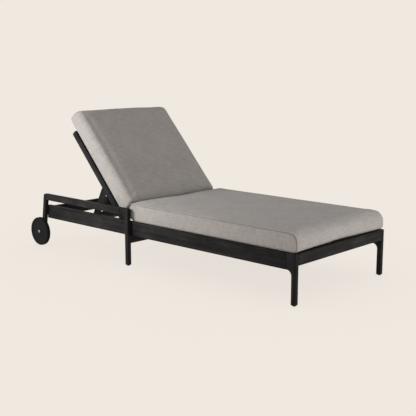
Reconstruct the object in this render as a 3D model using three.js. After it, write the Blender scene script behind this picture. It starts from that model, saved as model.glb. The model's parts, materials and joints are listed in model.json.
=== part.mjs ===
// A reclining sun lounger: a dark stained timber frame on four legs and two wheels, with a
// slatted seat, a slatted backrest held up by a prop, and a seat cushion and a back cushion.
//
// Millimetres, +Z up. The foot end faces -Y and the head end faces +Y. "Left" is +X, the left
// hand of somebody lying on the lounger. Lengths along the lounger are measured as stations
// from the face of the foot end; the whole model is shifted at the end, so that its origin
// lies on the floor under the middle of its length and width.

import * as THREE from 'three';

// ---------------------------------------------------------------- driving dimensions

const FOOT_WIDTH = 772; // over the outer faces of the two foot legs and side rails
const BOARD = 24; // thickness of the frame boards, and of the wheels
const GAP = 0.3; // between two pieces that touch
const PLAY = 2; // between two pieces that turn past each other
const ROUNDING = 3; // radius on the edges of the boards
const HOLE_SIDES = 20; // sides of a bolt and of the hole it sits in
const WHEEL_SIDES = 48;

const LEG_DEPTH = 26;
const GLIDE_HEIGHT = 3;
const LEG_FOOT = GLIDE_HEIGHT + GAP;

const RAIL_BOTTOM = 168;
const RAIL_TOP = 248;
const FOOT_RAIL_BOTTOM = 191;
const FOOT_FILLET = 26;
const FOOT_STUB = 58; // the foot leg's board reaches this far along the side rail

const POST_STATION = 1125; // front face of the posts, which are the middle legs
const UPPER_RAIL_BOTTOM = 283;
const UPPER_RAIL_TOP = 321;
const POST_FILLET = 33; // under the upper rail, where it leaves the post
const BEAM_BOTTOM = 126;

const WHEEL_RADIUS = 86;
const AXLE_STATION = 1920;
const AXLE_RADIUS = 5;
const REAR_LEG_SLANT = 0.15; // sideways run of the rear legs for each millimetre of drop
const REAR_RAIL_STATION = 1872;
const REAR_RAIL_BOTTOM = 176;
const REAR_RAIL_TOP = 240;

const SLAT_WIDTH = 64;
const SLAT_THICKNESS = 15;
const SEAT_SLATS = 10;
const SEAT_SLAT_PITCH = 113;
const FIRST_SEAT_SLAT = 34;
const LEDGER_DEPTH = 20;
const LEDGER_BACK = 1120; // the ledgers stop just past the last slat

const PIVOT_STATION = 1208; // the backrest's hinge line
const PIVOT_HEIGHT = 231;
const RECLINE = THREE.MathUtils.degToRad(48); // backrest above the horizontal
const STILE_DEPTH = 34;
const STILE_FRONT = 10; // from the hinge line to the face under the cushion
const STILE_LENGTH = 645;
const PIVOT_BOLT_RADIUS = 5;
const BACK_SLATS = 5;
const BACK_SLAT_PITCH = 106;
const FIRST_BACK_SLAT = 66;

const PROP_PIVOT = { along: 278, below: 15 }; // on the stile, from the hinge line
const PROP_LEAN = THREE.MathUtils.degToRad(-62.4); // world direction of the prop, downwards
const PROP_LENGTH = 254;
const ARM_REAR = 9; // from the line through the pivot to the arm's rear edge
const ARM_FRONT = 29;
const SHOULDER_FRONT = 55; // of the arm's broad upper part
const SHOULDER_START = 34;
const SHOULDER_END = 84;
const SHOULDER_FOOT = 150; // where the arm is back to its plain depth
const BAR_OFFSET = 10; // in front of the line through the pivot
const PROP_RAIL_WIDTH = 46;
const PROP_RAIL_THICKNESS = 18;
const PROP_BOLT_RADIUS = 4;
const PROP_BAR_RADIUS = 6;

const RACK_BOTTOM = 172;
const RACK_TOP = 206;
const RACK_FRONT = 1440;
const RACK_BACK = 1722; // the bar drops behind it when the backrest lies flat
const NOTCH_RADIUS = 7;
const NOTCH_PITCH = 56;
const NOTCH_LEAD = 6;
const NOTCHES = 4;

const CUSHION_THICKNESS = 97;
const CUSHION_REST = 1.5; // above the slats
const SEAT_CUSHION_WIDTH = 756;
const SEAT_CUSHION_BACK = 1152;
const BACK_CUSHION_WIDTH = 692;
const BACK_CUSHION_START = 45; // from the hinge line, along the backrest
const BACK_CUSHION_END = 738;

const LENGTH = AXLE_STATION + WHEEL_RADIUS;
const HALF_WIDTH = FOOT_WIDTH / 2;
const RAIL_INSIDE = HALF_WIDTH - BOARD;
const SIDES = [['left', 1], ['right', -1]];

// ---------------------------------------------------------------- materials

const wood = new THREE.MeshStandardMaterial({ color: 0x242021, roughness: 0.62 });
const fabric = new THREE.MeshStandardMaterial({ color: 0x8d8883, roughness: 0.95 });
const rubber = new THREE.MeshStandardMaterial({ color: 0x161616, roughness: 0.85 });
const plastic = new THREE.MeshStandardMaterial({ color: 0x1f1f20, roughness: 0.5 });
const steel = new THREE.MeshStandardMaterial({ color: 0xb4b4b2, roughness: 0.3, metalness: 1 });
const blackSteel = new THREE.MeshStandardMaterial({ color: 0x1b1b1c, roughness: 0.4, metalness: 0.8 });

// ---------------------------------------------------------------- shapes

// Points along an arc, with more of them on a larger radius.
function arcPoints(centre, radius, fromAngle, toAngle, clockwise) {
  const arc = new THREE.EllipseCurve(centre.x, centre.y, radius, radius, fromAngle, toAngle, clockwise);
  const quarterTurns = arc.getLength() / (radius * Math.PI / 2);
  const stepsPerQuarter = Math.min(8, Math.ceil(1 + radius / 4));
  return arc.getPoints(Math.ceil(quarterTurns * stepsPerQuarter - 0.01));
}

// A closed outline through corners [along, up, radius], anticlockwise, with an arc at each
// corner that has a radius.
function outline(corners) {
  const points = corners.flatMap(([along, up, radius = 0], index) => {
    const corner = new THREE.Vector2(along, up);
    if (radius === 0) return [corner];
    const [lastAlong, lastUp] = corners.at(index - 1);
    const [nextAlong, nextUp] = corners[(index + 1) % corners.length];
    const toLast = new THREE.Vector2(lastAlong, lastUp).sub(corner).normalize();
    const toNext = new THREE.Vector2(nextAlong, nextUp).sub(corner).normalize();
    const half = Math.acos(toLast.dot(toNext)) / 2;
    const reach = radius / Math.tan(half);
    const middle = toLast.clone().add(toNext).normalize();
    const centre = middle.multiplyScalar(radius / Math.sin(half)).add(corner);
    const start = toLast.clone().multiplyScalar(reach).add(corner).sub(centre);
    const end = toNext.clone().multiplyScalar(reach).add(corner).sub(centre);
    const inward = toLast.cross(toNext) > 0;
    return arcPoints(centre, radius, start.angle(), end.angle(), inward);
  });
  return new THREE.Shape(points);
}

function rectangle(alongFrom, alongTo, upFrom, upTo, radius = 0) {
  return outline([
    [alongFrom, upFrom, radius],
    [alongTo, upFrom, radius],
    [alongTo, upTo, radius],
    [alongFrom, upTo, radius],
  ]);
}

function drill(shape, along, up, radius) {
  const circle = new THREE.EllipseCurve(along, up, radius, radius, 0, 2 * Math.PI, true);
  shape.holes.push(new THREE.Path(circle.getPoints(HOLE_SIDES).slice(0, -1)));
}

// A board whose outline lies in the YZ plane, from one X to another, with rounded edges.
function board(shape, fromX, toX, rounding = ROUNDING) {
  const geometry = new THREE.ExtrudeGeometry(shape, {
    depth: toX - fromX - 2 * rounding,
    bevelThickness: rounding,
    bevelSize: rounding,
    bevelOffset: -rounding,
    bevelSegments: rounding < ROUNDING ? 1 : 2,
  });
  const alongY = new THREE.Vector3(0, 1, 0);
  const upZ = new THREE.Vector3(0, 0, 1);
  const acrossX = new THREE.Vector3(1, 0, 0);
  geometry.applyMatrix4(new THREE.Matrix4().makeBasis(alongY, upZ, acrossX));
  geometry.translate(fromX + rounding, 0, 0);
  return geometry;
}

// The same board on one side of the lounger; inner and outer are distances from the middle.
function sideBoard(shape, sign, inner, outer, rounding = ROUNDING) {
  return board(shape, Math.min(sign * inner, sign * outer), Math.max(sign * inner, sign * outer), rounding);
}

// A turned piece about a line parallel to X. The profile holds [radius, X] points.
function turned(profile, sign, station, height, segments = HOLE_SIDES) {
  const points = profile.map(([radius, across]) => new THREE.Vector2(radius, across));
  const geometry = new THREE.LatheGeometry(points, segments);
  geometry.rotateZ(-Math.PI / 2);
  if (sign < 0) geometry.rotateY(Math.PI);
  geometry.translate(0, station, height);
  return geometry;
}

function add(parent, name, geometry, material) {
  const mesh = new THREE.Mesh(geometry, material);
  mesh.name = name;
  parent.add(mesh);
}

// ---------------------------------------------------------------- seat frame

const lounger = new THREE.Group();
lounger.position.set(0, -LENGTH / 2, 0);

// The foot leg is cut from one wide board, with a fillet where it turns into the side rail.
function footLeg(sign) {
  const shape = outline([
    [0, LEG_FOOT, 4],
    [LEG_DEPTH, LEG_FOOT, 4],
    [LEG_DEPTH, RAIL_BOTTOM, FOOT_FILLET],
    [FOOT_STUB, RAIL_BOTTOM],
    [FOOT_STUB, RAIL_TOP],
    [0, RAIL_TOP, 6],
  ]);
  return sideBoard(shape, sign, RAIL_INSIDE, HALF_WIDTH);
}

// The side rail carries the seat, the backrest's hinge and the rack, from foot to head.
function sideRail(sign) {
  const shape = rectangle(FOOT_STUB + GAP, REAR_RAIL_STATION + BOARD, RAIL_BOTTOM, RAIL_TOP);
  drill(shape, PIVOT_STATION, PIVOT_HEIGHT, PIVOT_BOLT_RADIUS + GAP);
  return sideBoard(shape, sign, RAIL_INSIDE, HALF_WIDTH, 2);
}

function crossBoard(station, depth, bottom, top, reach) {
  return board(rectangle(station, station + depth, bottom, top, 2), -reach, reach, 1);
}

for (const [side, sign] of SIDES) {
  add(lounger, `foot_leg_${side}`, footLeg(sign), wood);
  add(lounger, `side_rail_${side}`, sideRail(sign), wood);
}
add(lounger, 'foot_rail', crossBoard(0, BOARD, FOOT_RAIL_BOTTOM, RAIL_TOP, RAIL_INSIDE - GAP), wood);
add(
  lounger,
  'middle_cross_beam',
  crossBoard(POST_STATION + 1, BOARD, BEAM_BOTTOM, RAIL_BOTTOM - GAP, HALF_WIDTH),
  wood,
);
add(
  lounger,
  'rear_cross_rail',
  crossBoard(REAR_RAIL_STATION, BOARD, REAR_RAIL_BOTTOM, REAR_RAIL_TOP, RAIL_INSIDE - GAP),
  wood,
);

// ---------------------------------------------------------------- rear side frames

// The rear side frames are bolted on outside the side rails: a post that is also the middle
// leg, an upper rail, and a slanting rear leg that carries the wheel.
const FRAME_INSIDE = HALF_WIDTH + GAP;
const FRAME_OUTSIDE = FRAME_INSIDE + BOARD;
const POST_BACK = POST_STATION + LEG_DEPTH;
const UPPER_RAIL_START = POST_BACK + POST_FILLET + 6;

function post(sign) {
  const shape = outline([
    [POST_STATION, LEG_FOOT, 4],
    [POST_BACK, LEG_FOOT, 4],
    [POST_BACK, UPPER_RAIL_BOTTOM, POST_FILLET],
    [UPPER_RAIL_START, UPPER_RAIL_BOTTOM],
    [UPPER_RAIL_START, UPPER_RAIL_TOP],
    [POST_STATION, UPPER_RAIL_TOP, 6],
  ]);
  return sideBoard(shape, sign, FRAME_INSIDE, FRAME_OUTSIDE);
}

// Station of the rear leg's middle line at a height, and of its front or back edge.
function rearLegAt(height, edge = 0) {
  return AXLE_STATION - REAR_LEG_SLANT * (height - WHEEL_RADIUS) + (edge * LEG_DEPTH) / 2;
}

function upperRail(sign) {
  const shape = outline([
    [UPPER_RAIL_START + GAP, UPPER_RAIL_BOTTOM],
    [rearLegAt(UPPER_RAIL_BOTTOM, -1) - GAP, UPPER_RAIL_BOTTOM],
    [rearLegAt(UPPER_RAIL_TOP, -1) - GAP, UPPER_RAIL_TOP],
    [UPPER_RAIL_START + GAP, UPPER_RAIL_TOP],
  ]);
  return sideBoard(shape, sign, FRAME_INSIDE, FRAME_OUTSIDE);
}

function rearLeg(sign) {
  const foot = WHEEL_RADIUS - LEG_DEPTH / 2 - 4;
  const shape = outline([
    [rearLegAt(foot, -1), foot, 10],
    [rearLegAt(foot, 1), foot, 10],
    [rearLegAt(UPPER_RAIL_TOP, 1), UPPER_RAIL_TOP, 14],
    [rearLegAt(UPPER_RAIL_TOP, -1), UPPER_RAIL_TOP],
  ]);
  drill(shape, AXLE_STATION, WHEEL_RADIUS, AXLE_RADIUS + GAP);
  return sideBoard(shape, sign, FRAME_INSIDE, FRAME_OUTSIDE);
}

// A round pad under a leg.
function glide(station, middle) {
  const pad = new THREE.CylinderGeometry(7.5, 8.5, GLIDE_HEIGHT, HOLE_SIDES);
  pad.rotateX(Math.PI / 2);
  pad.translate(middle, station, GLIDE_HEIGHT / 2);
  return pad;
}

for (const [side, sign] of SIDES) {
  add(lounger, `post_${side}`, post(sign), wood);
  add(lounger, `upper_rail_${side}`, upperRail(sign), wood);
  add(lounger, `rear_leg_${side}`, rearLeg(sign), wood);
  const footMiddle = sign * (HALF_WIDTH - BOARD / 2);
  const postMiddle = sign * (FRAME_INSIDE + BOARD / 2);
  add(lounger, `foot_glide_${side}`, glide(LEG_DEPTH / 2, footMiddle), plastic);
  add(lounger, `post_glide_${side}`, glide(POST_STATION + LEG_DEPTH / 2, postMiddle), plastic);
}

// ---------------------------------------------------------------- wheels

const WASHER = 3; // thickness
const WASHER_RADIUS = 12;
const EASED = 0.5; // chamfer on small turned pieces
const BUSH_RADIUS = 11;
const TYRE_DEPTH = 9;
const WHEEL_INSIDE = FRAME_OUTSIDE + GAP + WASHER + GAP;
const WHEEL_OUTSIDE = WHEEL_INSIDE + BOARD;
const RIM_RADIUS = WHEEL_RADIUS - TYRE_DEPTH;

// A ring between two radii, from one X to another, with chamfered outer edges.
function ring(innerRadius, outerRadius, fromX, toX, chamfer) {
  return [
    [innerRadius, fromX],
    [outerRadius - chamfer, fromX],
    [outerRadius, fromX + chamfer],
    [outerRadius, toX - chamfer],
    [outerRadius - chamfer, toX],
    [innerRadius, toX],
    [innerRadius, fromX],
  ];
}

// The disc is dished by a shallow groove inside its rim, on both faces.
const discProfile = [
  [BUSH_RADIUS + GAP, WHEEL_INSIDE],
  [30, WHEEL_INSIDE],
  [34, WHEEL_INSIDE + 2],
  [RIM_RADIUS - 8, WHEEL_INSIDE + 2],
  [RIM_RADIUS - 4, WHEEL_INSIDE + 1],
  [RIM_RADIUS - GAP, WHEEL_INSIDE + 1],
  [RIM_RADIUS - GAP, WHEEL_OUTSIDE - 1],
  [RIM_RADIUS - 4, WHEEL_OUTSIDE - 1],
  [RIM_RADIUS - 8, WHEEL_OUTSIDE - 2],
  [34, WHEEL_OUTSIDE - 2],
  [30, WHEEL_OUTSIDE],
  [BUSH_RADIUS + GAP, WHEEL_OUTSIDE],
  [BUSH_RADIUS + GAP, WHEEL_INSIDE],
];

const NUT_INSIDE = FRAME_INSIDE - 12;
const CAP_INSIDE = WHEEL_OUTSIDE + GAP;
const axleProfile = [
  [0, NUT_INSIDE],
  [8, NUT_INSIDE],
  [9, NUT_INSIDE + 1],
  [9, FRAME_INSIDE - GAP],
  [AXLE_RADIUS, FRAME_INSIDE - GAP],
  [AXLE_RADIUS, CAP_INSIDE],
  [9.5, CAP_INSIDE],
  [9.5, CAP_INSIDE + 1.2],
  [7, CAP_INSIDE + 2.6],
  [0, CAP_INSIDE + 3],
];

for (const [side, sign] of SIDES) {
  const onAxle = (profile, segments) => turned(profile, sign, AXLE_STATION, WHEEL_RADIUS, segments);
  const boreRadius = AXLE_RADIUS + GAP;
  const tyre = ring(RIM_RADIUS, WHEEL_RADIUS, WHEEL_INSIDE, WHEEL_OUTSIDE, 4);
  const bush = ring(boreRadius, BUSH_RADIUS, WHEEL_INSIDE, WHEEL_OUTSIDE, EASED);
  const washer = ring(boreRadius, WASHER_RADIUS, FRAME_OUTSIDE + GAP, WHEEL_INSIDE - GAP, EASED);
  add(lounger, `wheel_tyre_${side}`, onAxle(tyre, WHEEL_SIDES), rubber);
  add(lounger, `wheel_disc_${side}`, onAxle(discProfile, WHEEL_SIDES), wood);
  add(lounger, `wheel_bush_${side}`, onAxle(bush), plastic);
  add(lounger, `axle_washer_${side}`, onAxle(washer), steel);
  add(lounger, `axle_bolt_${side}`, onAxle(axleProfile), steel);
}

// ---------------------------------------------------------------- seat slats

const SLAT_TOP = RAIL_TOP;
const SLAT_BOTTOM = SLAT_TOP - SLAT_THICKNESS;
const LEDGER_INSIDE = RAIL_INSIDE - GAP - LEDGER_DEPTH;

for (const [side, sign] of SIDES) {
  const top = SLAT_BOTTOM - GAP;
  const shape = rectangle(BOARD + GAP, LEDGER_BACK, top - LEDGER_DEPTH, top);
  add(lounger, `seat_ledger_${side}`, sideBoard(shape, sign, LEDGER_INSIDE, RAIL_INSIDE - GAP, 1), wood);
}
for (let i = 0; i < SEAT_SLATS; i += 1) {
  const start = FIRST_SEAT_SLAT + i * SEAT_SLAT_PITCH;
  const slat = crossBoard(start, SLAT_WIDTH, SLAT_BOTTOM, SLAT_TOP, RAIL_INSIDE - GAP);
  add(lounger, `seat_slat_${i + 1}`, slat, wood);
}

// ---------------------------------------------------------------- rack for the prop

// The bar of the prop stands in the first notch, below the prop's upper pivot. Its ends stop
// just short of the racks, so that the backrest and the prop can turn freely.
const propTop = {
  station: PIVOT_STATION + PROP_PIVOT.along * Math.cos(RECLINE) + PROP_PIVOT.below * Math.sin(RECLINE),
  height: PIVOT_HEIGHT + PROP_PIVOT.along * Math.sin(RECLINE) - PROP_PIVOT.below * Math.cos(RECLINE),
};
const barStation = propTop.station + PROP_LENGTH * Math.cos(PROP_LEAN) + BAR_OFFSET * Math.sin(PROP_LEAN);
const barHeight = propTop.height + PROP_LENGTH * Math.sin(PROP_LEAN) - BAR_OFFSET * Math.cos(PROP_LEAN);
const RACK_INSIDE = RAIL_INSIDE - GAP - 18;

// The notches open upwards, each with a sloping lead-in on its foot side.
function rack(sign) {
  const points = [new THREE.Vector2(RACK_FRONT, RACK_BOTTOM), new THREE.Vector2(RACK_BACK, RACK_BOTTOM)];
  points.push(new THREE.Vector2(RACK_BACK, RACK_TOP));
  for (let i = NOTCHES - 1; i >= 0; i -= 1) {
    const middle = new THREE.Vector2(barStation + i * NOTCH_PITCH, barHeight);
    points.push(new THREE.Vector2(middle.x + NOTCH_RADIUS, RACK_TOP));
    points.push(...arcPoints(middle, NOTCH_RADIUS, 0, -Math.PI, true));
    points.push(new THREE.Vector2(middle.x - NOTCH_RADIUS - NOTCH_LEAD, RACK_TOP));
  }
  points.push(new THREE.Vector2(RACK_FRONT, RACK_TOP));
  return sideBoard(new THREE.Shape(points), sign, RACK_INSIDE, RAIL_INSIDE - GAP, 1);
}

for (const [side, sign] of SIDES) {
  add(lounger, `prop_rack_${side}`, rack(sign), wood);
}

// ---------------------------------------------------------------- backrest

// Modelled lying flat along +Y from the hinge line, then turned up by the recline angle.
const backrest = new THREE.Group();
backrest.position.set(0, PIVOT_STATION, PIVOT_HEIGHT);
backrest.rotation.x = RECLINE;
lounger.add(backrest);

const STILE_OUTSIDE = RAIL_INSIDE - PLAY;
const STILE_INSIDE = STILE_OUTSIDE - BOARD;
const STILE_HALF = STILE_DEPTH / 2;
const STILE_REAR = STILE_FRONT - STILE_DEPTH;

function stile(sign) {
  const shape = outline([
    [-STILE_HALF, STILE_REAR, STILE_HALF - 1],
    [STILE_LENGTH, STILE_REAR, 4],
    [STILE_LENGTH, STILE_FRONT, 4],
    [-STILE_HALF, STILE_FRONT, STILE_HALF - 1],
  ]);
  drill(shape, 0, 0, PIVOT_BOLT_RADIUS + GAP);
  drill(shape, PROP_PIVOT.along, -PROP_PIVOT.below, PROP_BOLT_RADIUS + GAP);
  return sideBoard(shape, sign, STILE_INSIDE, STILE_OUTSIDE, 1);
}

const BACK_RAIL_REAR = STILE_REAR + 4;
const BACK_RAIL_FRONT = STILE_FRONT - 4;
const backReach = STILE_INSIDE - GAP;
for (const [side, sign] of SIDES) {
  add(backrest, `back_stile_${side}`, stile(sign), wood);
}
for (const [name, start] of [['bottom', 22], ['top', STILE_LENGTH - 31]]) {
  const rail = crossBoard(start, BOARD, BACK_RAIL_REAR, BACK_RAIL_FRONT, backReach);
  add(backrest, `back_${name}_rail`, rail, wood);
}
for (let i = 0; i < BACK_SLATS; i += 1) {
  const start = FIRST_BACK_SLAT + i * BACK_SLAT_PITCH;
  const slat = crossBoard(start, SLAT_WIDTH, STILE_FRONT - SLAT_THICKNESS, STILE_FRONT, backReach);
  add(backrest, `back_slat_${i + 1}`, slat, wood);
}

// Hinge bolts: a head inside the stile, and a shank to a second head outside the side rail.
const HEAD = 3; // thickness
const HINGE_HEAD_RADIUS = 9;
const pivotProfile = [
  [0, STILE_INSIDE - GAP - HEAD],
  [HINGE_HEAD_RADIUS - 1, STILE_INSIDE - GAP - HEAD],
  [HINGE_HEAD_RADIUS, STILE_INSIDE - GAP - HEAD + 1],
  [HINGE_HEAD_RADIUS, STILE_INSIDE - GAP],
  [PIVOT_BOLT_RADIUS, STILE_INSIDE - GAP],
  [PIVOT_BOLT_RADIUS, HALF_WIDTH + GAP],
  [HINGE_HEAD_RADIUS, HALF_WIDTH + GAP],
  [HINGE_HEAD_RADIUS, HALF_WIDTH + GAP + HEAD - 1],
  [HINGE_HEAD_RADIUS - 1, HALF_WIDTH + GAP + HEAD],
  [0, HALF_WIDTH + GAP + HEAD],
];
for (const [side, sign] of SIDES) {
  const bolt = turned(pivotProfile, sign, PIVOT_STATION, PIVOT_HEIGHT);
  add(lounger, `back_pivot_bolt_${side}`, bolt, blackSteel);
}

// ---------------------------------------------------------------- prop

// Two arms with a flat rail and a round bar between them. The arms hang between the stiles from their own bolts, and
// their upper part is broad.
const prop = new THREE.Group();
prop.position.set(0, propTop.station, propTop.height);
prop.rotation.x = PROP_LEAN;
lounger.add(prop);

const ARM_OUTSIDE = STILE_INSIDE - PLAY;
const ARM_INSIDE = ARM_OUTSIDE - 18;
const ARM_END = PROP_LENGTH + 16;
const BAR_REACH = RACK_INSIDE - 1.5;

function propArm(sign) {
  const shape = outline([
    [-ARM_REAR, -ARM_REAR, ARM_REAR - 3],
    [SHOULDER_START, -SHOULDER_FRONT, 12],
    [SHOULDER_END, -SHOULDER_FRONT, 20],
    [SHOULDER_FOOT, -ARM_FRONT, 30],
    [ARM_END, -ARM_FRONT, 14],
    [ARM_END, ARM_REAR, 14],
    [-ARM_REAR, ARM_REAR, ARM_REAR - 1],
  ]);
  drill(shape, 0, 0, PROP_BOLT_RADIUS + GAP);
  drill(shape, PROP_LENGTH, -BAR_OFFSET, PROP_BAR_RADIUS + GAP);
  return sideBoard(shape, sign, ARM_INSIDE, ARM_OUTSIDE, 1);
}

for (const [side, sign] of SIDES) {
  add(prop, `prop_arm_${side}`, propArm(sign), wood);
}
const propRailEnd = PROP_LENGTH - PROP_BAR_RADIUS - 4;
const propRail = crossBoard(
  propRailEnd - PROP_RAIL_WIDTH,
  PROP_RAIL_WIDTH,
  0.5 - ARM_FRONT,
  0.5 - ARM_FRONT + PROP_RAIL_THICKNESS,
  ARM_INSIDE - GAP,
);
add(prop, 'prop_rail', propRail, wood);
const barProfile = [
  [0, -BAR_REACH],
  [PROP_BAR_RADIUS - 1, -BAR_REACH],
  [PROP_BAR_RADIUS, -BAR_REACH + 1],
  [PROP_BAR_RADIUS, BAR_REACH - 1],
  [PROP_BAR_RADIUS - 1, BAR_REACH],
  [0, BAR_REACH],
];
add(prop, 'prop_bar', turned(barProfile, 1, PROP_LENGTH, -BAR_OFFSET), blackSteel);

// Prop bolts: a head inside the arm, and a shank that ends flush in the stile.
const propBoltProfile = [
  [0, ARM_INSIDE - GAP - HEAD],
  [6, ARM_INSIDE - GAP - HEAD],
  [7, ARM_INSIDE - GAP - HEAD + 1],
  [7, ARM_INSIDE - GAP],
  [PROP_BOLT_RADIUS, ARM_INSIDE - GAP],
  [PROP_BOLT_RADIUS, STILE_OUTSIDE - 0.5],
  [0, STILE_OUTSIDE - 0.5],
];
for (const [side, sign] of SIDES) {
  const bolt = turned(propBoltProfile, sign, PROP_PIVOT.along, -PROP_PIVOT.below);
  add(backrest, `prop_pivot_bolt_${side}`, bolt, steel);
}

// ---------------------------------------------------------------- cushions

// A cushion's side view, extruded across the lounger: its outer top corner is the rounder one.
function cushion(from, to, bottom, width, topCornerAtStart, topCornerAtEnd) {
  const top = bottom + CUSHION_THICKNESS;
  const shape = outline([
    [from, bottom, 16],
    [to, bottom, 16],
    [to, top, topCornerAtEnd],
    [from, top, topCornerAtStart],
  ]);
  return board(shape, -width / 2, width / 2, 12);
}

const seatBottom = RAIL_TOP + CUSHION_REST;
const backBottom = STILE_FRONT + CUSHION_REST;
const seatCushion = cushion(2, SEAT_CUSHION_BACK, seatBottom, SEAT_CUSHION_WIDTH, 38, 16);
const backCushion = cushion(BACK_CUSHION_START, BACK_CUSHION_END, backBottom, BACK_CUSHION_WIDTH, 30, 60);
add(lounger, 'seat_cushion', seatCushion, fabric);
add(backrest, 'back_cushion', backCushion, fabric);

export default lounger;
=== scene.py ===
"""The looks of a reclining sun lounger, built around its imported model.

Metres, in the model's frame: +Z up, the foot end faces -Y, the wheels are at the +Y end, and
"left" is +X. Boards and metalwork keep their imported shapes, with softened edges and a material
of their own. The two cushions are sewn covers, inflated by cloth simulation. The wheels are
turned again at a finer step. A screw head is added to each prop arm.
"""

import json
import math

import bmesh
import bpy
import numpy as np
from mathutils import Matrix, Vector, kdtree, noise


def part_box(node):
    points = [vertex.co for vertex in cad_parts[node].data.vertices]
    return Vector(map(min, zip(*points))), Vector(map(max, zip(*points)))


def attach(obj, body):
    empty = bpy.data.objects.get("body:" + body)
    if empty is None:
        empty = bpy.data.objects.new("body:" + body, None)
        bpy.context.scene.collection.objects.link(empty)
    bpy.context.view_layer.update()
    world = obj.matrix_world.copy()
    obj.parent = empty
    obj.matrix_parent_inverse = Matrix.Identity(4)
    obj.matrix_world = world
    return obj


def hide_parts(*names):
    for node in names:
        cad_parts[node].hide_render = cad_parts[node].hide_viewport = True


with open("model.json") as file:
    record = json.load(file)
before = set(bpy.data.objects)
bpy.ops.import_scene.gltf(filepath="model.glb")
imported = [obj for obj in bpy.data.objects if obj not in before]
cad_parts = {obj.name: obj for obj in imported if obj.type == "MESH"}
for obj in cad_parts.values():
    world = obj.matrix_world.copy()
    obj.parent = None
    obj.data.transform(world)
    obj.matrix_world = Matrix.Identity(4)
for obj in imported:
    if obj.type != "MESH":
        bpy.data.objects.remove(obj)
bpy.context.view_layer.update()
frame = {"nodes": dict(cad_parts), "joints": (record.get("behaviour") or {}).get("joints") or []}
nodes = frame["nodes"]
SIDES = (("left", 1), ("right", -1))
MM = 0.001

RECLINE = math.radians(48)  # of the backrest, above the horizontal
PROP_LEAN = math.radians(-62.4)  # of the prop, in the same sense

# ---------------------------------------------------------------- camera, floor and light

CAMERA_PLACE = Vector((-3.202, -3.078, 1.100))
CAMERA_HEADING = math.radians(47.06)  # from +Y towards +X
CAMERA_DIP = math.radians(10.37)
CAMERA_LENS = 68.05
BACKDROP = (0.871, 0.815, 0.753)
SKY_STRENGTH = 0.65
FLOOR_RADIUS = 120.0
FLOOR_GLOW = 0.88  # the share of the floor's brightness that shadows don't reach
KEY_PLACE = Vector((-1.75, 1.05, 1.00))
KEY_TARGET = Vector((-0.38, 0.20, 0.30))
KEY_SIZE = 0.8
LAMP_SPREAD = math.radians(120)
KEY_POWER = 22.0
FILL_PLACE = Vector((0.20, -2.60, 0.50))
FILL_TARGET = Vector((0.0, -1.0, 0.30))
FILL_SIZE = 1.2
FILL_POWER = 13.0


def make_camera():
    """The camera that gives the reference view."""
    lens = bpy.data.cameras.new("camera")
    lens.sensor_width = 36.0
    lens.lens = CAMERA_LENS
    camera = bpy.data.objects.new("camera", lens)
    camera.location = CAMERA_PLACE
    camera.rotation_euler = (math.pi / 2 - CAMERA_DIP, 0.0, -CAMERA_HEADING)
    bpy.context.scene.collection.objects.link(camera)
    bpy.context.scene.camera = camera


def make_floor():
    """A wide pale floor, evenly lit, that takes only a faint shadow."""
    mesh = bpy.data.meshes.new("floor")
    shape = bmesh.new()
    bmesh.ops.create_circle(shape, cap_ends=True, segments=96, radius=FLOOR_RADIUS)
    shape.to_mesh(mesh)
    shape.free()
    floor = bpy.data.objects.new("floor", mesh)
    bpy.context.scene.collection.objects.link(floor)
    paint = bpy.data.materials.new("floor_paint")
    paint.use_nodes = True
    skin = paint.node_tree.nodes["Principled BSDF"]
    matt_share = (1 - FLOOR_GLOW) / SKY_STRENGTH
    skin.inputs["Base Color"].default_value = (*(matt_share * level for level in BACKDROP), 1.0)
    skin.inputs["Roughness"].default_value = 1.0
    skin.inputs["Specular IOR Level"].default_value = 0.0
    skin.inputs["Emission Color"].default_value = (*BACKDROP, 1.0)
    skin.inputs["Emission Strength"].default_value = FLOOR_GLOW
    mesh.materials.append(paint)
    return floor


def make_sky():
    """An even pale sky that lights the scene, and a backdrop of one plain colour."""
    world = bpy.data.worlds.new("studio")
    world.use_nodes = True
    tree = world.node_tree
    seen = tree.nodes.new("ShaderNodeBackground")
    seen.inputs["Color"].default_value = (*BACKDROP, 1.0)
    lit = tree.nodes["Background"]
    lit.inputs["Color"].default_value = (1.0, 0.985, 0.965, 1.0)
    lit.inputs["Strength"].default_value = SKY_STRENGTH
    choice = tree.nodes.new("ShaderNodeMixShader")
    path = tree.nodes.new("ShaderNodeLightPath")
    tree.links.new(path.outputs["Is Camera Ray"], choice.inputs["Fac"])
    tree.links.new(lit.outputs["Background"], choice.inputs[1])
    tree.links.new(seen.outputs["Background"], choice.inputs[2])
    tree.links.new(choice.outputs["Shader"], tree.nodes["World Output"].inputs["Surface"])
    bpy.context.scene.world = world


def make_lamp(name, place, target, size, power, unlit):
    """A large soft lamp that lights everything but one unlit piece."""
    lamp = bpy.data.lights.new(name, "AREA")
    lamp.shape = "SQUARE"
    lamp.size = size
    lamp.energy = power
    lamp.spread = LAMP_SPREAD
    light = bpy.data.objects.new(name, lamp)
    light.location = place
    light.rotation_euler = (target - place).to_track_quat("-Z", "Y").to_euler()
    light.visible_camera = False
    bpy.context.scene.collection.objects.link(light)
    left_out = bpy.data.collections.new(name + "_leaves_out")
    left_out.objects.link(unlit)
    left_out.collection_objects[0].light_linking.link_state = "EXCLUDE"
    light.light_linking.receiver_collection = left_out


bpy.context.scene.view_settings.view_transform = "Standard"
make_camera()
floor = make_floor()
make_sky()
# The key stands on the lounger's right-hand side, low and towards its head; the fill faces its foot.
make_lamp("key", KEY_PLACE, KEY_TARGET, KEY_SIZE, KEY_POWER, floor)
make_lamp("fill", FILL_PLACE, FILL_TARGET, FILL_SIZE, FILL_POWER, floor)

# ---------------------------------------------------------------- materials


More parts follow.
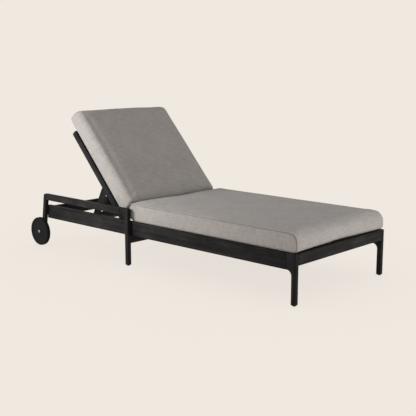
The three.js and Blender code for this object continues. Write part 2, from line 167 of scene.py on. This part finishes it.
class Finish:
    """A material whose nodes are added one at a time."""

    def __init__(self, name, **sockets):
        self.material = bpy.data.materials.new(name)
        self.material.use_nodes = True
        self.tree = self.material.node_tree
        self.skin = self.tree.nodes["Principled BSDF"]
        for socket, value in sockets.items():
            self.skin.inputs[socket.replace("_", " ")].default_value = value

    def node(self, kind, inputs, output=0, **settings):
        """Adds a node and returns one of its outputs."""
        made = self.tree.nodes.new(kind)
        for key, value in settings.items():
            setattr(made, key, value)
        for socket, value in inputs.items():
            if isinstance(value, bpy.types.NodeSocket):
                self.tree.links.new(value, made.inputs[socket])
            else:
                made.inputs[socket].default_value = value
        return made.outputs[output]

    def math(self, operation, a, b=0.0):
        return self.node("ShaderNodeMath", {0: a, 1: b}, operation=operation)

    def noise(self, place, scale=1.0, detail=3.0, roughness=0.55):
        inputs = {"Vector": place, "Scale": scale, "Detail": detail, "Roughness": roughness}
        return self.node("ShaderNodeTexNoise", inputs, "Fac")

    def stretched(self, place, sizes, turn=(0.0, 0.0, 0.0)):
        """Coordinates turned to an axis, then divided by the size of the pattern along each."""
        inputs = {"Vector": place, "Rotation": turn, "Scale": sizes}
        return self.node("ShaderNodeMapping", inputs, vector_type="TEXTURE")

    def span(self, value, low, high, start=0.0, end=1.0):
        inputs = {"Value": value, "From Min": start, "From Max": end, "To Min": low, "To Max": high}
        return self.node("ShaderNodeMapRange", inputs)

    def ramp(self, value, stops):
        """A colour ramp through (position, colour) stops."""
        colour = self.node("ShaderNodeValToRGB", {"Fac": value})
        ramp = colour.node.color_ramp
        while len(ramp.elements) < len(stops):
            ramp.elements.new(0.5)
        for element, (position, shade) in zip(ramp.elements, stops):
            element.position = position
            element.color = (*shade, 1.0)
        return colour

    def bump(self, height, distance, strength=1.0, under=None):
        inputs = {"Height": height, "Distance": distance, "Strength": strength}
        if under is not None:
            inputs["Normal"] = under
        return self.node("ShaderNodeBump", inputs)

    def feed(self, **sockets):
        for socket, value in sockets.items():
            self.tree.links.new(value, self.skin.inputs[socket.replace("_", " ")])


def object_place(finish):
    return finish.node("ShaderNodeTexCoord", {}, "Object")


WOOD_DARK = (0.0045, 0.0042, 0.0044)
WOOD_MIDDLE = (0.0104, 0.0099, 0.0101)
WOOD_WORN = (0.0260, 0.0244, 0.0242)
# The size of each layer of the wood's pattern, along the grain and across it both ways.
WOOD_FIBRE = (0.030, 0.0011, 0.0011)
WOOD_PORES = (0.009, 0.0006, 0.0006)
WOOD_FIGURE = (0.30, 0.017, 0.017)
WOOD_CLOUD = (0.11, 0.06, 0.06)


def stained_wood(name, turn):
    """Near-black stain on an open-grained board, with the grain along the turned X axis."""
    finish = Finish(name, Specular_IOR_Level=0.05)
    place = object_place(finish)
    fibre = finish.noise(finish.stretched(place, WOOD_FIBRE, turn), detail=4.0)
    pores = finish.noise(finish.stretched(place, WOOD_PORES, turn), detail=2.0)
    figure = finish.noise(finish.stretched(place, WOOD_FIGURE, turn), detail=3.0)
    cloud = finish.noise(finish.stretched(place, WOOD_CLOUD, turn), detail=2.0)
    tone = finish.math("ADD", finish.math("MULTIPLY", fibre, 0.35), finish.math("MULTIPLY", figure, 0.35))
    tone = finish.math("ADD", tone, finish.math("MULTIPLY", cloud, 0.30))
    colour = finish.ramp(tone, [(0.36, WOOD_DARK), (0.50, WOOD_MIDDLE), (0.66, WOOD_WORN)])
    pits = finish.span(pores, 0.0, 1.0, 0.30, 0.48)
    rough = finish.span(tone, 0.58, 0.44, 0.35, 0.65)
    grain = finish.math("ADD", finish.math("MULTIPLY", pits, 0.6), finish.math("MULTIPLY", fibre, 0.4))
    finish.feed(Base_Color=colour, Roughness=rough, Normal=finish.bump(grain, 0.35 * MM, 0.7))
    return finish.material


ALONG_X = (0.0, 0.0, 0.0)


def along_board(tilt):
    """The turn that lays X along a board in the side view, tilted up from +Y."""
    return (0.0, -tilt, math.pi / 2)


FABRIC_DARK = (0.205, 0.190, 0.179)
FABRIC_MIDDLE = (0.262, 0.244, 0.231)
FABRIC_LIGHT = (0.318, 0.298, 0.283)
THREAD = 1.5 * MM  # the repeat of the fine crossing threads
# The size of each layer of the fabric's pattern, along the weave map's axes.
FABRIC_WARP = (0.0050, 0.060, 1.0)
FABRIC_WEFT = (0.060, 0.0050, 1.0)
FABRIC_FLECK = (0.0016, 0.0016, 1.0)
FABRIC_CLOUD = (0.16, 0.16, 1.0)
WEAVE_MAP = "weave"


def woven_fabric(name):
    """A heathered plain weave: slubs along the warp and the weft, over fine crossing threads."""
    finish = Finish(name, Roughness=0.92, Specular_IOR_Level=0.08, Sheen_Weight=0.05, Sheen_Roughness=0.50)
    cloth = finish.node("ShaderNodeUVMap", {}, uv_map=WEAVE_MAP)
    warp = finish.noise(finish.stretched(cloth, FABRIC_WARP), detail=3.0)
    weft = finish.noise(finish.stretched(cloth, FABRIC_WEFT), detail=3.0)
    fleck = finish.noise(finish.stretched(cloth, FABRIC_FLECK), detail=2.0)
    cloud = finish.noise(finish.stretched(cloth, FABRIC_CLOUD), detail=3.0)
    slub = finish.math("ADD", finish.math("MULTIPLY", warp, 0.36), finish.math("MULTIPLY", weft, 0.30))
    slub = finish.math("ADD", slub, finish.math("MULTIPLY", fleck, 0.20))
    slub = finish.math("ADD", slub, finish.math("MULTIPLY", cloud, 0.14))
    across = finish.node("ShaderNodeSeparateXYZ", {"Vector": cloth}, "X")
    along = finish.node("ShaderNodeSeparateXYZ", {"Vector": cloth}, "Y")
    over = finish.math("SINE", finish.math("MULTIPLY", across, math.tau / THREAD))
    under = finish.math("SINE", finish.math("MULTIPLY", along, math.tau / THREAD))
    crossing = finish.math("MULTIPLY", over, under)
    tone = finish.math("ADD", slub, finish.math("MULTIPLY", crossing, 0.035))
    colour = finish.ramp(tone, [(0.36, FABRIC_DARK), (0.50, FABRIC_MIDDLE), (0.64, FABRIC_LIGHT)])
    threads = finish.bump(crossing, 0.16 * MM, 0.6)
    finish.feed(Base_Color=colour, Normal=finish.bump(slub, 0.9 * MM, 0.8, threads))
    return finish.material


def moulded(name, shade, rough, scale, **sockets):
    """A plain moulded or cast surface with a fine texture."""
    finish = Finish(name, **sockets)
    place = object_place(finish)
    spots = finish.noise(place, scale=scale, detail=4.0)
    darker = tuple(0.7 * level for level in shade)
    finish.feed(
        Base_Color=finish.ramp(spots, [(0.3, darker), (0.7, shade)]),
        Roughness=finish.span(spots, rough + 0.08, rough - 0.08, 0.3, 0.7),
        Normal=finish.bump(spots, 0.1 * MM, 0.4),
    )
    return finish.material


def brushed_metal(name, shade, rough, sizes):
    """Metal with fine lines, from turning or brushing."""
    finish = Finish(name, Metallic=1.0)
    place = object_place(finish)
    lines = finish.noise(finish.stretched(place, sizes), detail=3.0)
    darker = tuple(0.75 * level for level in shade)
    finish.feed(
        Base_Color=finish.ramp(lines, [(0.3, darker), (0.7, shade)]),
        Roughness=finish.span(lines, rough + 0.1, rough - 0.08, 0.3, 0.7),
        Normal=finish.bump(lines, 0.03 * MM, 0.5),
    )
    return finish.material


wood_across = stained_wood("stained_wood_across", ALONG_X)
wood_along = stained_wood("stained_wood_along", along_board(0.0))
wood_upright = stained_wood("stained_wood_upright", along_board(math.pi / 2))
wood_back = stained_wood("stained_wood_back", along_board(RECLINE))
wood_prop = stained_wood("stained_wood_prop", along_board(PROP_LEAN))
fabric = woven_fabric("cushion_cover")
rubber = moulded("tyre_rubber", (0.0085, 0.0085, 0.0085), 0.80, 900.0, Specular_IOR_Level=0.05)
plastic = moulded("black_nylon", (0.0080, 0.0080, 0.0084), 0.62, 1400.0, Specular_IOR_Level=0.06)
stainless = brushed_metal("satin_stainless", (0.30, 0.295, 0.285), 0.48, (0.0003, 0.004, 0.004))
black_metal = moulded("black_oxide_steel", (0.0090, 0.0090, 0.0094), 0.48, 1100.0, Specular_IOR_Level=0.10)

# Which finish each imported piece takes, by the first words of its name.
FINISHES = (
    (("foot_rail", "middle_cross_beam", "rear_cross_rail", "seat_slat"), wood_across),
    (("back_bottom_rail", "back_top_rail", "back_slat", "prop_rail"), wood_across),
    (("side_rail", "upper_rail", "seat_ledger", "prop_rack"), wood_along),
    (("foot_leg", "post_left", "post_right", "rear_leg"), wood_upright),
    (("back_stile",), wood_back),
    (("prop_arm",), wood_prop),
    (("foot_glide", "post_glide", "wheel_bush"), plastic),
    (("axle_bolt", "axle_washer"), stainless),
    (("back_pivot_bolt", "prop_pivot_bolt", "prop_bar"), black_metal),
)
SOFTENED = 0.7 * MM  # extra rounding of a board's edges
CREASE = math.radians(28)


def dress(piece, finish):
    """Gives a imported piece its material, smooth faces and softened edges."""
    mesh = piece.data
    mesh.materials.clear()
    mesh.materials.append(finish)
    custom = mesh.attributes.get("custom_normal")
    if custom is not None:
        mesh.attributes.remove(custom)
    mesh.polygons.foreach_set("use_smooth", [True] * len(mesh.polygons))
    weld = piece.modifiers.new("weld", "WELD")
    weld.merge_threshold = 0.01 * MM
    soften = piece.modifiers.new("soften", "BEVEL")
    soften.width = SOFTENED
    soften.segments = 2
    soften.limit_method = "ANGLE"
    soften.angle_limit = CREASE
    soften.harden_normals = True


for starts, finish in FINISHES:
    for node_name, piece in nodes.items():
        if node_name.startswith(starts):
            dress(piece, finish)

# ---------------------------------------------------------------- building blocks


def joint_place(name):
    """A point on a joint's axis."""
    return next(Vector(joint["pos_m"]) for joint in frame["joints"] if joint["name"] == name)


def new_piece(name, mesh, finish, body):
    """Makes a piece of the object from a mesh in the model's frame."""
    mesh.materials.append(finish)
    piece = bpy.data.objects.new(name, mesh)
    bpy.context.scene.collection.objects.link(piece)
    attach(piece, body)
    return piece


def turned_mesh(name, profile, axis_place, axis, segments=96):
    """A turned solid. Its profile holds (distance along the axis, radius) points, end to end."""
    shape = bmesh.new()
    across = axis.orthogonal().normalized()
    rings = []
    for along, radius in profile:
        centre = axis_place + axis * along
        if radius == 0:
            rings.append([shape.verts.new(centre)])
            continue
        ring = []
        for step in range(segments):
            spoke = Matrix.Rotation(math.tau * step / segments, 3, axis) @ across
            ring.append(shape.verts.new(centre + spoke * radius))
        rings.append(ring)
    for first, second in zip(rings, rings[1:]):
        for step in range(max(len(first), len(second))):
            corners = [
                first[step % len(first)],
                first[(step + 1) % len(first)],
                second[(step + 1) % len(second)],
                second[step % len(second)],
            ]
            shape.faces.new(list(dict.fromkeys(corners)))
    bmesh.ops.remove_doubles(shape, verts=shape.verts, dist=0.001 * MM)
    bmesh.ops.recalc_face_normals(shape, faces=shape.faces)
    mesh = bpy.data.meshes.new(name)
    shape.to_mesh(mesh)
    shape.free()
    mesh.polygons.foreach_set("use_smooth", [True] * len(mesh.polygons))
    mesh.set_sharp_from_angle(angle=math.radians(35))
    return mesh


def arc(along, radius, size, start, end, steps=6):
    """Points of a profile on an arc round (along, radius), with angles in degrees."""
    angles = [math.radians(start + (end - start) * i / steps) for i in range(steps + 1)]
    return [(along + size * math.cos(a), radius + size * math.sin(a)) for a in angles]


# ---------------------------------------------------------------- cushions

EDGE_STEPS = 4  # of the mesh, round a side edge
END_SHARE = 0.5  # of the side edges' rounding, at the cushion's two ends
SEAM_RINGS = 3  # the rings of the mesh that make the groove at a seam
SEAM_GROUP = 0  # the vertex group that marks them
SEAM_CREASE = 0.7  # keeps the groove's lips sharp when the mesh is made finer


class CushionPlan:
    """A boxed cushion: one band round its side view, and a panel on each side.

    Its own axes are: along the lounger, up through its thickness, and across the lounger."""

    def __init__(self, start, end, bottom, top, half_width, radii, edge, rear, seam, turn, step):
        self.start, self.end = start, end
        self.bottom, self.top = bottom, top
        self.half_width = half_width
        self.radii = radii  # at the corners: start bottom, end bottom, end top, start top
        self.edge = edge  # rounding between the band and the side panels
        self.rear = rear  # the share of that rounding on the face that the cushion rests on
        self.seam = seam  # the width and depth of the groove at the seam
        self.turn = turn  # from the cushion's axes to the model's frame
        self.long_steps = round((end - start) / step)
        self.thick_steps = round((top - bottom) / step)
        flat = half_width - edge
        self.crossings = list(np.linspace(-flat, flat, round(2 * flat / step) + 1))
        self.insets = [0.0] * len(self.crossings)
        for number in range(1, EDGE_STEPS + 1):
            angle = math.pi / 2 * number / EDGE_STEPS
            self.add_ring(flat + edge * math.sin(angle), edge * (1 - math.cos(angle)))
        width, depth = seam
        self.add_ring(half_width - depth, edge + width / 2)
        self.add_ring(half_width, edge + width)

    def add_ring(self, reach, inset):
        """One more ring of the cover's mesh on each side."""
        self.crossings = [-reach, *self.crossings, reach]
        self.insets = [inset, *self.insets, inset]

    def drawn_in(self, point, inset):
        """A point of the side view, moved inwards where the side edges round off."""
        middle = (self.start + self.end) / 2
        half_length = (self.end - self.start) / 2
        height = (point.y - self.bottom) / (self.top - self.bottom)
        lift = inset * (self.rear * (1 - height) - height)
        shrink = 1 - END_SHARE * inset / half_length
        return Vector((middle + (point.x - middle) * shrink, point.y + lift))

    def corner_arc(self, index, steps=16):
        """Points of one rounded corner of the side view, anticlockwise."""
        radius = self.radii[index]
        at_end = index in (1, 2)
        at_top = index in (2, 3)
        along = self.end - radius if at_end else self.start + radius
        up = self.top - radius if at_top else self.bottom + radius
        first = math.pi * (1 + index / 2)
        angles = [first + math.pi / 2 * i / steps for i in range(steps + 1)]
        return [Vector((along + radius * math.cos(a), up + radius * math.sin(a))) for a in angles]

    def sides(self):
        """The four sides of the outline, each from one corner's middle to the next one's."""
        arcs = [self.corner_arc(index) for index in range(4)]
        counts = (self.long_steps, self.thick_steps, self.long_steps, self.thick_steps)
        made = []
        for index, count in enumerate(counts):
            here, after = arcs[index], arcs[(index + 1) % 4]
            middle = len(here) // 2
            made.append(evenly(here[middle:] + after[: middle + 1], count))
        return made

    def panel(self):
        """Points of a side panel, as rows from bottom to top."""
        bottom, end, top, start = self.sides()
        top, start = top[::-1], start[::-1]
        rows = []
        for j in range(self.thick_steps + 1):
            up = j / self.thick_steps
            row = []
            for i in range(self.long_steps + 1):
                along = i / self.long_steps
                ruled = bottom[i] * (1 - up) + top[i] * up + start[j] * (1 - along) + end[j] * along
                low = bottom[0] * (1 - along) + bottom[-1] * along
                high = top[0] * (1 - along) + top[-1] * along
                row.append(ruled - low * (1 - up) - high * up)
            rows.append(row)
        return rows


def evenly(points, count):
    """A path resampled to a number of equal steps."""
    lengths = [0.0]
    for first, second in zip(points, points[1:]):
        lengths.append(lengths[-1] + (second - first).length)
    made = []
    for step in range(count + 1):
        reach = lengths[-1] * step / count
        index = min(np.searchsorted(lengths, reach, side="right") - 1, len(points) - 2)
        share = (reach - lengths[index]) / (lengths[index + 1] - lengths[index])
        made.append(points[index].lerp(points[index + 1], min(share, 1.0)))
    return made


def cushion_mesh(plan, name):
    """The closed cover, with a groove at each seam and the weave laid on every panel."""
    shape = bmesh.new()
    weave = shape.loops.layers.uv.new(WEAVE_MAP)
    held = shape.verts.layers.deform.verify()
    creases = shape.edges.layers.float.new("crease_edge")
    outline = [point for side in plan.sides() for point in side[:-1]]
    columns = []
    for across, inset in zip(plan.crossings, plan.insets):
        places = [plan.drawn_in(point, inset) for point in outline]
        columns.append([shape.verts.new((p.x, p.y, across)) for p in places])
    add_band(shape, plan, outline, columns, weave)
    for end in (0, -1):
        add_panel(shape, plan, columns[end], plan.crossings[end], weave)
    for column in (*columns[:SEAM_RINGS], *columns[-SEAM_RINGS:]):
        for vert in column:
            vert[held][SEAM_GROUP] = 1.0
    for column in (columns[1], columns[-2]):
        for first, second in zip(column, column[1:] + column[:1]):
            shape.edges.get((first, second))[creases] = SEAM_CREASE
    bmesh.ops.recalc_face_normals(shape, faces=shape.faces)
    mesh = bpy.data.meshes.new(name)
    shape.to_mesh(mesh)
    shape.free()
    return mesh


def add_band(shape, plan, outline, columns, weave):
    """The cover's band, with the weave running along it and across it."""
    lengths = [0.0]
    for first, second in zip(outline, outline[1:] + outline[:1]):
        lengths.append(lengths[-1] + (second - first).length)
    count = len(outline)
    for c in range(len(columns) - 1):
        for i in range(count):
            after = (i + 1) % count
            quad = (columns[c][i], columns[c][after], columns[c + 1][after], columns[c + 1][i])
            face = shape.faces.new(quad)
            low, high = lengths[i], lengths[i + 1]
            marks = ((low, c), (high, c), (high, c + 1), (low, c + 1))
            for loop, (reach, column) in zip(face.loops, marks):
                loop[weave].uv = (reach, plan.crossings[column])


def add_panel(shape, plan, column, across, weave):
    """One side panel, inside the band's last ring of points."""
    rim = bottom_up_rim(plan, column)
    grid = []
    for j, row in enumerate(plan.panel()):
        line = []
        for i, point in enumerate(row):
            place = plan.drawn_in(point, plan.insets[0])
            line.append(rim.get((i, j)) or shape.verts.new((place.x, place.y, across)))
        grid.append(line)
    for j in range(plan.thick_steps):
        for i in range(plan.long_steps):
            corners = (grid[j][i], grid[j][i + 1], grid[j + 1][i + 1], grid[j + 1][i])
            face = shape.faces.new(corners)
            for loop in face.loops:
                loop[weave].uv = (loop.vert.co.x + across, loop.vert.co.y)


def bottom_up_rim(plan, column):
    """The panel's border vertices by their (along, up) place, from the outline's column."""
    rim = {}
    long_steps, thick_steps = plan.long_steps, plan.thick_steps
    for i in range(long_steps):
        rim[i, 0] = column[i]
        rim[long_steps - i, thick_steps] = column[long_steps + thick_steps + i]
    for j in range(thick_steps):
        rim[long_steps, j] = column[long_steps + j]
        rim[0, thick_steps - j] = column[2 * long_steps + thick_steps + j]
    return rim


def seam_points(mesh):
    """The points that lie on a seam."""
    return [vert.index for vert in mesh.vertices if vert.groups]


INFLATE_FRAMES = 20
PRESSURE = 10.0


def inflate(mesh):
    """Swells a cover by cloth simulation, with its seams held, and returns its new points."""
    trial = bpy.data.objects.new("trial_cover", mesh.copy())
    bpy.context.scene.collection.objects.link(trial)
    held = trial.vertex_groups.new(name="seams")
    cloth = trial.modifiers.new("cloth", "CLOTH")
    settings = cloth.settings
    settings.quality = 6
    settings.mass = 0.4
    settings.tension_stiffness = 18.0
    settings.compression_stiffness = 18.0
    settings.shear_stiffness = 6.0
    settings.bending_stiffness = 2.0
    settings.use_pressure = True
    settings.uniform_pressure_force = PRESSURE
    settings.effector_weights.gravity = 0.0
    settings.vertex_group_mass = held.name
    settings.pin_stiffness = 1.0
    cloth.collision_settings.use_collision = False
    cloth.point_cache.frame_start = 1
    cloth.point_cache.frame_end = INFLATE_FRAMES
    scene = bpy.context.scene
    for number in range(1, INFLATE_FRAMES + 1):
        scene.frame_set(number)
    shown = trial.evaluated_get(bpy.context.evaluated_depsgraph_get())
    points = np.empty(len(mesh.vertices) * 3)
    shown.data.vertices.foreach_get("co", points)
    scene.frame_set(1)
    swollen = trial.data
    bpy.data.objects.remove(trial)
    bpy.data.meshes.remove(swollen)
    return points.reshape(-1, 3)


def tree_of(points):
    """A search tree for the nearest of some points."""
    tree = kdtree.KDTree(len(points))
    for index, point in enumerate(points):
        tree.insert(point, index)
    tree.balance()
    return tree


def smooth_cap(amount, limit):
    """Keeps a displacement under a limit, with no sudden stop."""
    return limit * np.tanh(amount / limit)


def shape_cushion(plan, mesh, swell):
    """Moves the cover's points to their sewn, swollen places, within the swell of each face.

    swell holds how far the cover may stand out at: start, end, bottom, top, sides."""
    rest = np.array([v.co[:] for v in mesh.vertices])
    moved = inflate(mesh)
    push = moved - rest
    start, end, bottom, top, sides = swell
    low = np.array([start, bottom, sides])
    high = np.array([end, top, sides])
    limit = np.where(push < 0, low, high)
    push = smooth_cap(push, limit)
    mesh.vertices.foreach_set("co", (rest + push).ravel())


RUMPLE = 1.5 * MM
RUMPLE_SIZE = 130 * MM
PUCKER = 0.7 * MM
PUCKER_SIZE = 20 * MM
PUCKER_REACH = 22 * MM
PUCKER_START = 4 * MM  # from the seam


def rumple(mesh, seed):
    """Gives the cover a slight unevenness, and small puckers that fade away from the seams."""
    seams = tree_of([mesh.vertices[index].co for index in seam_points(mesh)])
    for vert in mesh.vertices:
        reach = seams.find(vert.co)[2]
        away = 1 - math.exp(-reach / PUCKER_REACH)
        wide = noise.noise(vert.co / RUMPLE_SIZE + seed)
        close = noise.noise(vert.co / PUCKER_SIZE - seed)
        lift = RUMPLE * wide * away + PUCKER * close * (1 - away) * min(1.0, reach / PUCKER_START)
        vert.co += vert.normal * lift


def cushion(name, node, body, plan, swell, seed):
    """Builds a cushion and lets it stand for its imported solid."""
    mesh = cushion_mesh(plan, name)
    shape_cushion(plan, mesh, swell)
    rumple(mesh, seed)
    mesh.transform(plan.turn)
    mesh.polygons.foreach_set("use_smooth", [True] * len(mesh.polygons))
    piece = new_piece(name, mesh, fabric, body)
    finer = piece.modifiers.new("finer", "SUBSURF")
    finer.levels = 1
    finer.render_levels = 1
    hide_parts(node)


STEP = 11 * MM  # of the cover's simulated mesh
SEAT_SEED = Vector((3.1, 7.7, 1.3))  # where each cushion's unevenness is read from
BACK_SEED = Vector((9.4, 2.2, 5.8))
seat_low, seat_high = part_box("seat_cushion")
# Along the lounger, up, and across it: the seat cushion's axes in the model's frame.
seat_turn = Matrix(((0, 0, 1, 0), (1, 0, 0, 0), (0, 1, 0, 0), (0, 0, 0, 1)))
seat_plan = CushionPlan(
    start=seat_low.y - 3 * MM,
    end=seat_high.y + 1 * MM,
    bottom=seat_low.z,
    top=seat_high.z - 1 * MM,
    half_width=seat_high.x - 3 * MM,
    radii=(20 * MM, 42 * MM, 24 * MM, 50 * MM),
    edge=5 * MM,
    rear=0.15,
    seam=(5 * MM, 7 * MM),
    turn=seat_turn,
    step=STEP,
)
SEAT_SWELL = (8 * MM, 3 * MM, 0.2 * MM, 13 * MM, 5 * MM)
cushion("seat_pad", "seat_cushion", "frame", seat_plan, SEAT_SWELL, SEAT_SEED)

back_frame = Matrix.Translation(joint_place("back_recline")) @ Matrix.Rotation(RECLINE, 4, "X")
back_points = [back_frame.inverted() @ v.co for v in nodes["back_cushion"].data.vertices]
back_low = Vector(min(p[axis] for p in back_points) for axis in range(3))
back_high = Vector(max(p[axis] for p in back_points) for axis in range(3))
back_plan = CushionPlan(
    start=back_low.y + 1 * MM,
    end=back_high.y + 3 * MM,
    bottom=back_low.z - 1 * MM,
    top=back_high.z + 2 * MM,
    half_width=back_high.x + 3 * MM,
    radii=(18 * MM, 18 * MM, 58 * MM, 30 * MM),
    edge=22 * MM,
    rear=0.12,
    seam=(2.5 * MM, 1.5 * MM),
    turn=back_frame @ seat_turn,
    step=STEP,
)
BACK_SWELL = (3 * MM, 8 * MM, 0.2 * MM, 10 * MM, 5 * MM)
cushion("back_pad", "back_cushion", "backrest", back_plan, BACK_SWELL, BACK_SEED)

# ---------------------------------------------------------------- wheels

TREAD_ROUND = 4.5 * MM
TREAD_GROOVES = (0.36, 0.64)  # across the tread
GROOVE_DEPTH = 0.8 * MM
BEAD = 1.2 * MM
HUB = 27 * MM
BORE_SLACK = 0.3 * MM
FACE_STEP = 2.2 * MM  # from the hub's face to the disc's
LIP_WIDTH = 5 * MM
RING_DEPTH = 0.9 * MM  # of the groove turned inside the lip
WHEEL_SEGMENTS = 160


def make_wheel(side, sign):
    """A rubber tyre on a turned disc, which has a lipped rim, a groove and a raised hub."""
    low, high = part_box("wheel_tyre_" + side)
    axle = Vector((0.0, (low.y + high.y) / 2, (low.z + high.z) / 2))
    axis = Vector((sign, 0.0, 0.0))
    radius = (high.z - low.z) / 2
    inside, outside = sorted((abs(low.x), abs(high.x)))
    disc_low, disc_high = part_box("wheel_disc_" + side)
    rim = (disc_high.z - disc_low.z) / 2
    shoulder = radius - TREAD_ROUND
    tyre = [(inside + BEAD, rim), *arc(inside + TREAD_ROUND, shoulder, TREAD_ROUND, 180, 90)]
    for groove in TREAD_GROOVES:
        middle = inside + (outside - inside) * groove
        tyre += [(middle - BEAD, radius), (middle, radius - GROOVE_DEPTH), (middle + BEAD, radius)]
    tyre += arc(outside - TREAD_ROUND, shoulder, TREAD_ROUND, 90, 0)
    tyre += [(outside - BEAD, rim), (inside + BEAD, rim)]
    mesh = turned_mesh("tyre_" + side, tyre, axle, axis, WHEEL_SEGMENTS)
    piece = new_piece("tyre_" + side, mesh, rubber, "wheel_" + side)
    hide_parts("wheel_tyre_" + side)

    bush_low, bush_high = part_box("wheel_bush_" + side)
    bore = (bush_high.z - bush_low.z) / 2 + BORE_SLACK
    face = outside - FACE_STEP
    lip = rim - LIP_WIDTH
    disc = [(inside + 1 * MM, bore), (inside + 1 * MM, HUB), (inside + 3 * MM, HUB + 2 * MM)]
    disc += [(inside + 3 * MM, lip), (inside + 1 * MM, lip + 2 * MM), (inside + 1 * MM, rim)]
    disc += [(outside - 1 * MM, rim), *arc(outside - 1.6 * MM, rim - 2 * MM, 1 * MM, 40, -20)]
    disc += [(face, lip - 1 * MM), (face, lip - 9 * MM), (face - RING_DEPTH, lip - 9.6 * MM)]
    disc += [(face - RING_DEPTH, lip - 11 * MM), (face, lip - 11.6 * MM), (face, HUB + 3 * MM)]
    disc += [*arc(outside - 2 * MM, HUB - 2 * MM, 2 * MM, 60, 0), (outside, bore + 1 * MM)]
    disc += [(outside - 0.6 * MM, bore), (inside + 1 * MM, bore)]
    mesh = turned_mesh("disc_" + side, disc, axle, axis, WHEEL_SEGMENTS)
    piece = new_piece("disc_" + side, mesh, plastic, "wheel_" + side)
    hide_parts("wheel_disc_" + side)


for side, sign in SIDES:
    make_wheel(side, sign)

# ---------------------------------------------------------------- small fasteners


def screw_head(name, place, axis, radius, finish, body):
    """A low domed screw head with a round recess, standing on a face."""
    rise = radius * 0.45
    profile = [(0.0, 0.0), (0.0, radius * 0.96), (rise * 0.35, radius)]
    profile += [(rise * 0.75, radius * 0.86), (rise, radius * 0.58), (rise, radius * 0.42)]
    profile += [(rise * 0.35, radius * 0.40), (rise * 0.30, 0.0)]
    mesh = turned_mesh(name, profile, place, axis, 36)
    return new_piece(name, mesh, finish, body)


PROP_SCREW_RADIUS = 4.5 * MM
PROP_SCREW = Vector((0.0, 60 * MM, -45 * MM))  # from the prop's pivot: along it, and off its rear face
prop_turn = Matrix.Rotation(PROP_LEAN, 3, "X")
for side, sign in SIDES:
    arm_low, arm_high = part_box("prop_arm_" + side)
    place = joint_place("prop_swing") + prop_turn @ PROP_SCREW
    place.x = sign * max(abs(arm_low.x), abs(arm_high.x))
    axis = Vector((sign, 0.0, 0.0))
    screw_head("prop_screw_" + side, place, axis, PROP_SCREW_RADIUS, stainless, "prop")
